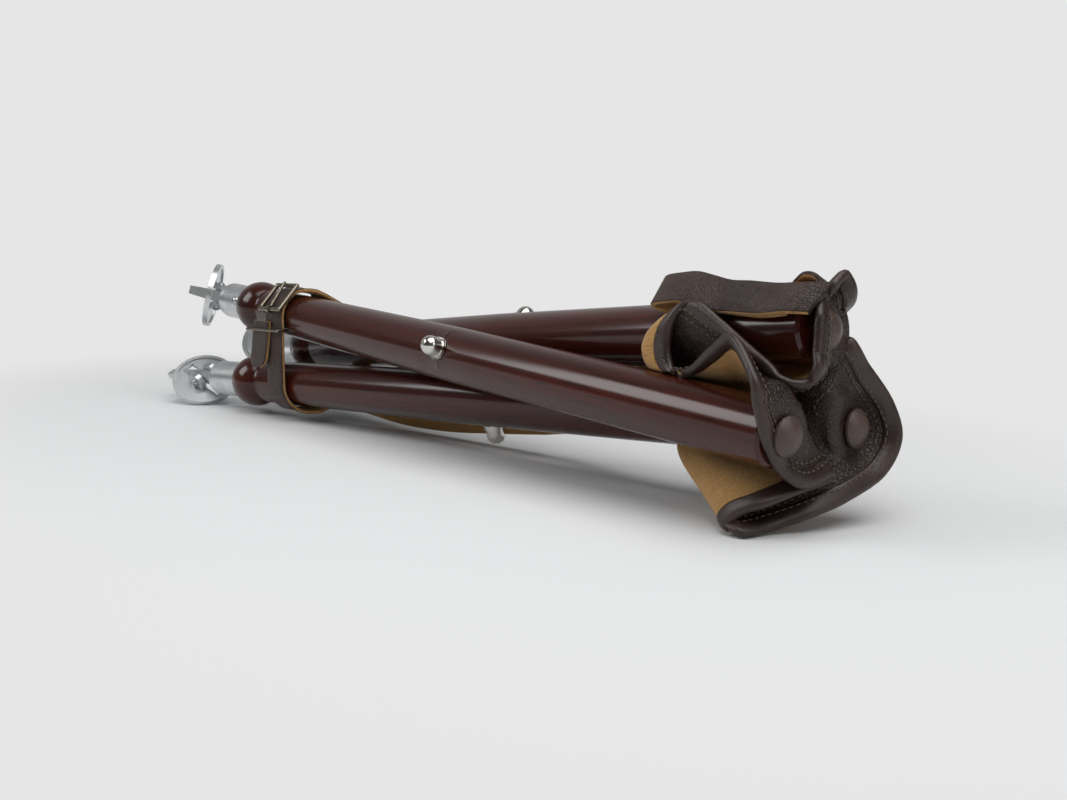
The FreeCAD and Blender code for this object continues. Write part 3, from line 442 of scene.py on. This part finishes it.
# A seam on the rear corner, in columns and rows of the seat's net
SEAM = ((20.9, 0.6), (20.5, 1.3), (20.1, 1.8), (19.5, 2.2), (18.5, 2.4), (17.3, 2.4))
SEAM_STEPS = 12
SEAM_LIFT = 0.0002
STITCH_STEP = 0.0034
STITCH_SIZE = (0.0013, 0.00045, 0.0004)
STITCH_RINGS = 5
STITCH_SIDES = 6
END_CORNER = 0.03
THREAD = "#6a5a4f"
THREAD_DARK = "#3f342d"
# Fibres are drawn coarser than real ones, so that they show
FIBRE = 0.0009


def sheet_normals(grid):
    """Unit normals on the grain side: the cross product of the steps from column to column and from
    row to row."""
    across = np.roll(grid, -1, axis=0) - np.roll(grid, 1, axis=0)
    normal = np.cross(across, np.gradient(grid, axis=1))
    return normal / np.maximum(np.linalg.norm(normal, axis=-1, keepdims=True), 1e-12)


def inset(depth, height):
    """The line a given length in from the seat's edge along every column, raised along the normals."""
    gaps = np.linalg.norm(np.diff(seat, axis=1), axis=2)
    length = np.concatenate([np.zeros((len(seat), 1)), np.cumsum(gaps, axis=1)], axis=1)
    column = np.arange(len(seat))
    row = np.clip((length < depth).sum(axis=1), 1, seat.shape[1] - 1)
    share = (depth - length[column, row - 1]) / gaps[column, row - 1]
    spot = seat[column, row - 1] + share[:, None] * (seat[column, row] - seat[column, row - 1])
    return spot + height * normals[column, row - 1]


def capped(tube):
    """Closes each end of a row of sections with a point in its middle. A section just inside each
    end keeps the end's corner crisp."""
    last = tube[[0, -1]]
    inside = last + END_CORNER * (tube[[1, -2]] - last)
    ends = np.broadcast_to(last.mean(axis=1, keepdims=True), last.shape)
    return np.concatenate([ends[:1], last[:1], inside[:1], tube[1:-1], inside[1:], last[1:], ends[1:]])


def stitches(name, path, up, material):
    """Stitches at even steps along a path: small ellipsoids that lie along it."""
    length = np.concatenate([[0], np.cumsum(np.linalg.norm(np.diff(path, axis=0), axis=1))])
    where = np.interp(np.arange(STITCH_STEP / 2, length[-1], STITCH_STEP), length, np.arange(len(path)))
    low = np.minimum(where.astype(int), len(path) - 2)
    share = (where - low)[:, None]
    centre = path[low] * (1 - share) + path[low + 1] * share
    ahead = path[low + 1] - path[low]
    ahead /= np.linalg.norm(ahead, axis=1, keepdims=True)
    side = np.cross(up[low], ahead)
    tilt = np.linspace(0.0, np.pi, STITCH_RINGS)[:, None]
    turn = np.linspace(0, 2 * np.pi, STITCH_SIDES, endpoint=False)[None]
    steps = [np.cos(tilt) + 0 * turn, np.sin(tilt) * np.cos(turn), np.sin(tilt) * np.sin(turn)]
    beads = centre[:, None, None]
    for step, way, size in zip(steps, (ahead, side, up[low]), STITCH_SIZE):
        beads = beads + size * step[None, ..., None] * way[:, None, None]
    return grid_object(name, beads, [material], closed=True)


def on_seat(places):
    """Points just over the sheet, and its normals there, along a smooth path through numbered
    columns and rows of its net."""
    where = spline(places, SEAM_STEPS, False) * (COLUMN_STEPS, SPAN_STEPS)
    column, row = where.astype(int).T
    side, down = (where - where.astype(int)).T[:, :, None]
    near = seat[column, row] * (1 - down) + seat[column, row + 1] * down
    far = seat[column + 1, row] * (1 - down) + seat[column + 1, row + 1] * down
    up = normals[column, row]
    return near * (1 - side) + far * side + (SEAT_THICK / 2 + SEAM_LIFT) * up, up


def waxed_thread():
    """Waxed linen thread: fine noise mixes two browns, so that it looks dull and fibrous."""
    material, tree = new_material("waxed_thread")
    where = node(tree, "ShaderNodeTexCoord", "Object")
    fibre = node(tree, "ShaderNodeTexNoise", Vector=where, Scale=1 / FIBRE, Detail=2.0)
    tone = node(tree, "ShaderNodeMix", 2, {"data_type": "RGBA"}, _0=fibre, _6=linear(THREAD_DARK),
                _7=linear(THREAD))
    shader = node(tree, "ShaderNodeBsdfPrincipled", Base_Color=tone, Roughness=0.7)
    node(tree, "ShaderNodeOutputMaterial", Surface=shader)
    return material


normals = sheet_normals(seat)
binding_lines = [inset(depth / 1000, height / 1000) for depth, height in BINDING_SECTION]
binding_grid = np.stack(binding_lines, axis=1)
binding_hide = grained_hide("binding_hide", BINDING, BINDING_WORN, sheen=0.5, depth=0.15)
thread = waxed_thread()
for leg in LEGS:
    strip = capped(lobe_span(binding_grid, leg))
    binding = grid_object(f"seat_binding_{leg}", strip, [binding_hide], closed=True)
    follow_leg(binding)
    trims = [binding]
    for row, (depth, height) in enumerate(STITCH_ROWS, start=1):
        path = lobe_span(inset(depth / 1000, height / 1000), leg)
        up = lobe_span(normals[:, STITCH_NORMAL_ROW], leg)
        trims.append(stitches(f"seat_thread_{leg}_{row}", path, up, thread))
    if leg == 2:
        trims.append(stitches("seat_seam_thread", *on_seat(SEAM), thread))
    for trim in trims[1:]:
        follow_leg(trim)


# Buttons: leather-covered domes that hold the seat's three corners to the leg ends, each on a
# screw. The hide is drawn tight over them, so its pebbles are shallow, and wear has made it paler.

BUTTON = "#43342f"
BUTTON_WORN = "#574740"
button_hide = grained_hide("button_hide", BUTTON, BUTTON_WORN, sheen=0.5, depth=0.2)
finish_nodes([f"seat_button_{n}" for n in LEGS], button_hide)


# Buckle, its prong and the wire keeper: nickel plate gone brown with age, so its mirror is dark and
# warm. They sit on the strap over the front leg, and the prong swings on the frame's bar.

BUCKLE = "#837a6c"
BUCKLE_ROUGH = 0.2
finish_nodes(["buckle_frame", "buckle_prong", "strap_keeper"],
             plain_metal("aged_nickel", BUCKLE, BUCKLE_ROUGH))


# Strap: grained hide outside and suede inside, from the top corner of the seat along the top leg,
# over and behind the bundle, to a loop round all three legs near the feet. A station gives the
# middle, the way across and the way out, in millimetres from the hub.

STRAP = "#2c1e19"
STRAP_WORN = "#453630"
STRAP_WIDE = 0.020
# The section's corners: shares of the width, and millimetres out
STRAP_SECTION = (
    (-0.50, -0.7), (-0.47, -1.3), (-0.25, -1.3), (0, -1.3), (0.25, -1.3), (0.47, -1.3), (0.50, -0.7),
    (0.50, 0.7), (0.47, 1.3), (0.25, 1.3), (0, 1.3), (-0.25, 1.3), (-0.47, 1.3), (-0.50, 0.7),
)
# Each side of the section is grain, 0, or suede, 1. The edges are dyed on the upper run's first rows
STRAP_KINDS = (1, 1, 1, 1, 1, 1, 1, 0, 0, 0, 0, 0, 0, 1)
DYED_EDGES = (1, 1, 1, 1, 1, 1, 0, 0, 0, 0, 0, 0, 0, 0)
DYED_ROWS = 80
# The handle's cut end behind the seat's rolled edge takes the dark grain hide on its first rows, instead
# of suede: painted shade
PAINTED_SHADE_END_ROWS = 2
TOP_BEND = (0.03, 0.11)
FOOT_BEND = (-0.03, -0.15)
HANDLE_STATIONS = (
    ((229.5, -4.6, 51.3), (0.1, 0.76, 0.6), (0, -0.6, 0.8)),
    ((219, -9.8, 51.2), (0, 0.8, 0.6), (0, -0.6, 0.8)),
    ((206, -9.8, 49.9), (0, 0.77, 0.64), (0, -0.64, 0.77)),
    ((190, -8.3, 49.9), (0, 0.74, 0.67), (0, -0.67, 0.74)),
    ((177, -6.5, 49.7), (0, 0.74, 0.67), (0, -0.67, 0.74)),
    ((166, -6.5, 51.6), (0, 0.74, 0.67), (0, -0.67, 0.74)),
    ((157, -6.5, 52.9), (0, 0.74, 0.67), (0, -0.67, 0.74)),
    ((147, -6.5, 51.9), (0, 0.74, 0.67), (0, -0.67, 0.74)),
    ((139.4, -5.6, 50.6), (-0.12, 0.74, 0.66), (-0.5, -0.55, 0.65)),
    ((136.8, -3.4, 48.9), (-0.2, 0.74, 0.66), (-1, 0, 0)),
    ((140, -1.2, 47.4), (-0.15, 0.75, 0.65), (-0.5, 0.55, -0.65)),
    ((150, 0.5, 47), (0, 0.74, 0.67), (0, 0.67, -0.74)),
    ((170, -0.2, 48.6), (0, 0.74, 0.67), (0, 0.67, -0.74)),
    ((190, -4.6, 48.8), (0, 0.74, 0.67), (0, 0.67, -0.74)),
    ((206, -6.6, 48.6), (0, 0.77, 0.64), (0, 0.64, -0.77)),
    ((219, -7, 50), (0, 0.81, 0.59), (0, 0.59, -0.81)),
)
UPPER_STATIONS = (
    ((224, 10.5, 50), (0, 0.9, -0.42), (1, 0, 0)),
    ((223.8, 10.8, 54), (0, 0.9, -0.42), (1, 0, 0.15)),
    ((220.8, 11, 56.6), (0, 0.9, -0.42), (0.6, 0.35, 0.7)),
    ((215.5, 11.2, 56.9), (0, 0.9, -0.42), (-0.4, 0.4, 0.8)),
    ((211, 12, 54), (0, 0.9, -0.42), (-0.95, 0.1, 0.2)),
    ((207, 13, 50.6), (0, 0.88, -0.45), (-0.8, 0.25, 0.5)),
    ((197, 14.3, 48.6), (0, 0.85, -0.5), (-0.25, 0.5, 0.8)),
    ((180, 15.5, 46.8), (0, 0.8, -0.6), (0, 0.6, 0.8)),
    ((160, 18, 42.6), (0.15, 0.7, -0.7), (0, 0.72, 0.69)),
    ((140, 24, 35), (0.5, 0.4, -0.75), (-0.1, 0.9, 0.45)),
    ((118, 30, 20), (0.75, 0, -0.65), (0, 1, 0.1)),
    ((92, 33.5, -5), (0.7, 0, -0.7), (0, 1, 0)),
    ((60, 33, -24), (0.35, 0, -0.94), (0, 1, 0)),
    ((20, 30, -32), (0.1, 0, -1), (0, 1, 0)),
)
LOWER_STATIONS = (
    ((20, 30, -32), (0.1, 0, -1), (0, 1, 0)),
    ((-20, 26.5, -36.5), (0, -0.05, -1), (0, 1, -0.05)),
    ((-60, 23, -40.3), (0, -0.1, -1), (0, 1, -0.1)),
    ((-100, 19, -40.8), (0, -0.2, -1), (0, 1, -0.2)),
    ((-138, 15.5, -37.5), (0, -0.5, -0.87), (0, 0.87, -0.5)),
    ((-165, 13.8, -35.9), (0, -0.86, -0.51), (0, 0.51, -0.86)),
)
LOOP_PLACE = -181.0
LOOP_RADIUS = 17.7
LOOP_SLANT = 18.0
SLANT_FROM = -0.5
LOOP_POINTS = 15
LOOP_STEPS = 6
TONGUE_STATIONS = (
    ((-193, -33.4, 15), (1, 0, 0), (0, -1, 0)),
    ((-195, -33.6, 2), (1, 0, 0), (0, -1, 0)),
    ((-197, -34.2, -10), (1, 0, 0.05), (0, -1, 0.05)),
    ((-198.2, -35.2, -17), (1, 0, 0.05), (0, -1, 0.15)),
)
# The tongue's sections, and the share of the width there
TONGUE_TAPER = ((0, 20, 26, 30), (1.0, 1.0, 0.85, 0.35))
# Sections from one station to the next
HANDLE_STEPS = 10
UPPER_STEPS = 12
LOWER_STEPS = 14
TONGUE_STEPS = 10


def ribbon(middle, across, out, width):
    """The strap's section at each point of a path. A corner lies its share of the width along the way
    across, and its height along the way out, which is first made square to that."""
    across = across / np.linalg.norm(across, axis=1, keepdims=True)
    out = out - across * np.sum(out * across, axis=1, keepdims=True)
    out /= np.linalg.norm(out, axis=1, keepdims=True)
    section = np.array(STRAP_SECTION)
    wide = section[:, 0, None] * across[:, None] * np.reshape(width, (-1, 1, 1))
    return middle[:, None] + wide + section[:, 1, None] / 1000 * out[:, None]


def run_of(stations, steps):
    """Smooth middles, ways across and ways out through a row of stations."""
    middle, across, out = np.moveaxis(spline(stations, steps, False), 1, 0)
    return HUB + middle / 1000, across, out


def loop_run():
    """Taut line round the three legs: an arc of 120 degrees about each, joined by straight runs, that
    slides along the legs from front to back."""
    ends = np.repeat([LEG_ENDS[leg] for leg in LEGS], LOOP_POINTS, axis=0)
    ways = np.repeat([LEG_WAYS[leg] for leg in LEGS], LOOP_POINTS, axis=0)
    centres = ends + ways * ((LOOP_PLACE - ends[:, :1]) / ways[:, :1])
    spread = (centres - centres.mean(axis=0))[:, 1:]
    arc = np.tile(np.linspace(-np.pi / 3, np.pi / 3, LOOP_POINTS), len(LEGS))
    turn = np.arctan2(spread[:, 1], spread[:, 0]) + arc
    out = np.stack([0 * turn, np.cos(turn), np.sin(turn)], axis=1)
    slide = LOOP_SLANT * smooth_step((out[:, 1:2] - SLANT_FROM) / (1 - SLANT_FROM))
    line = centres + ways * slide + LOOP_RADIUS * out
    fine = np.linspace(0, len(line), LOOP_STEPS * len(line) + 1)
    open_line = np.concatenate([line, out], axis=1)
    shut = np.concatenate([open_line, open_line[:1]])
    mid_face = np.stack([np.interp(fine, np.arange(len(shut)), part) for part in shut.T], axis=1)
    middle, face = mid_face[:, :3], mid_face[:, 3:]
    ahead = np.roll(middle[:-1], -1, axis=0) - np.roll(middle[:-1], 1, axis=0)
    return HUB + middle / 1000, np.cross(np.concatenate([ahead, ahead[:1]]), face), face


strap_hide = grained_hide("strap_hide", STRAP, STRAP_WORN, sheen=0.3)
tongue_run = run_of(TONGUE_STATIONS, TONGUE_STEPS)
taper = np.interp(np.arange(len(tongue_run[0])), *TONGUE_TAPER)
for name, run, width, held, body, bend in (
        ("strap_handle", run_of(HANDLE_STATIONS, HANDLE_STEPS), STRAP_WIDE, "folded", "leg_3", TOP_BEND),
        ("strap_upper", run_of(UPPER_STATIONS, UPPER_STEPS), STRAP_WIDE, "hung", "leg_3", TOP_BEND),
        ("strap_lower", run_of(LOWER_STATIONS, LOWER_STEPS), STRAP_WIDE, "hung", "leg_1", FOOT_BEND),
        ("strap_loop", loop_run(), STRAP_WIDE, "stretched", "leg_1", FOOT_BEND),
        ("strap_tongue", tongue_run, STRAP_WIDE * taper, "hung", "leg_1", FOOT_BEND)):
    tube = ribbon(*run, width)
    tube = tube if name == "strap_loop" else capped(tube)
    kinds = np.tile(STRAP_KINDS, (len(tube) - 1, 1))
    if name == "strap_upper":
        kinds[:DYED_ROWS] = DYED_EDGES
    # Painted shade: the handle's cut end under the seat's rolled edge takes the dark grain hide
    if name == "strap_handle":
        kinds[:PAINTED_SHADE_END_ROWS] = 0
    band = grid_object(name, tube, [strap_hide, suede], closed=True, kinds=kinds)
    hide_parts("carry_strap")
    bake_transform(band)


# Floor, light and camera: the stool lies on pale matt paper before an even backdrop, under a broad
# soft lamp overhead and one from each side. The camera stands at the photograph's angle.

PALE = "#e6e6e6"
FLOOR = "#dfe0e1"
FLOOR_SIZE = 16
# The floor fades to the backdrop between two distances from the middle, sooner along Y
FADE_STRETCH = (1, 1.6, 1)
FADE_START = 0.28
FADE_END = 0.62
# The backdrop is mirrored most in the way that it stands, and less all round
BACKDROP_WAY = (-0.72, 0.67, 0.15)
BACKDROP_GLOW = 0.55
ROOM_GLOW = 0.08
# Each lamp's place, the point that it faces, its two sides and its power in watts
LAMPS = {
    "overhead": ((0.5, -0.15, 1.2), (0.1, -0.1, 0), (1.3, 1.3), 15.5),
    "left": ((-0.8, -1.0, 0.9), (0, 0, 0.05), (0.7, 0.75), 8.5),
    "right": ((1.3, 0.1, 0.5), (0.2, 0, 0.05), (0.5, 0.5), 1.5),
}
CAMERA_FROM_HUB = (0.5269, -0.4481, 0.0887)
CAMERA_WAY = (-0.726, 0.670, -0.156)
CAMERA_LENS = 40.5
CAMERA_SENSOR = 36


def pale_floor():
    """Matt paper that fades into the even backdrop away from the object, along an oval."""
    material, tree = new_material("pale_paper")
    lit = node(tree, "ShaderNodeBsdfDiffuse", Color=linear(FLOOR))
    even = node(tree, "ShaderNodeEmission", Color=linear(PALE))
    where = node(tree, "ShaderNodeTexCoord", "Object")
    oval = node(tree, "ShaderNodeVectorMath", settings={"operation": "MULTIPLY"}, _0=where,
                _1=FADE_STRETCH)
    far = node(tree, "ShaderNodeVectorMath", "Value", {"operation": "LENGTH"}, _0=oval)
    share = node(tree, "ShaderNodeMapRange", settings={"interpolation_type": "SMOOTHSTEP"}, Value=far,
                 From_Min=FADE_START, From_Max=FADE_END)
    both = node(tree, "ShaderNodeMixShader", _0=share, _1=lit, _2=even)
    node(tree, "ShaderNodeOutputMaterial", Surface=both)
    return material


bpy.ops.mesh.primitive_plane_add(size=FLOOR_SIZE)
floor = bpy.context.object
floor.name = "floor"
floor.data.materials.append(pale_floor())

world = bpy.data.worlds.new("studio")
world.use_nodes = True
world.node_tree.nodes.clear()
seen = node(world.node_tree, "ShaderNodeLightPath", "Is Camera Ray")
way = node(world.node_tree, "ShaderNodeTexCoord", "Generated")
behind = node(world.node_tree, "ShaderNodeVectorMath", "Value", {"operation": "DOT_PRODUCT"}, _0=way,
              _1=BACKDROP_WAY)
paper = node(world.node_tree, "ShaderNodeMapRange", settings={"interpolation_type": "SMOOTHSTEP"},
             Value=behind, From_Min=0.2, From_Max=0.95, To_Min=ROOM_GLOW, To_Max=BACKDROP_GLOW)
strength = node(world.node_tree, "ShaderNodeMapRange", Value=seen, To_Min=paper, To_Max=1.0)
sky = node(world.node_tree, "ShaderNodeBackground", Color=linear(PALE), Strength=strength)
node(world.node_tree, "ShaderNodeOutputWorld", Surface=sky)
bpy.context.scene.world = world

for name, (place, aim, size, power) in LAMPS.items():
    data = bpy.data.lights.new(name, "AREA")
    data.shape = "RECTANGLE"
    data.size, data.size_y = size
    data.energy = power
    lamp = bpy.data.objects.new(name, data)
    lamp.location = place
    lamp.rotation_euler = (Vector(aim) - Vector(place)).to_track_quat("-Z", "Y").to_euler()
    bpy.context.scene.collection.objects.link(lamp)

camera = bpy.data.objects.new("camera", bpy.data.cameras.new("camera"))
camera.data.lens = CAMERA_LENS
camera.data.sensor_width = CAMERA_SENSOR
camera.location = Vector(HUB) + Vector(CAMERA_FROM_HUB)
camera.rotation_euler = Vector(CAMERA_WAY).to_track_quat("-Z", "Y").to_euler()
bpy.context.scene.collection.objects.link(camera)
bpy.context.scene.camera = camera
bpy.context.scene.view_settings.view_transform = "Standard"
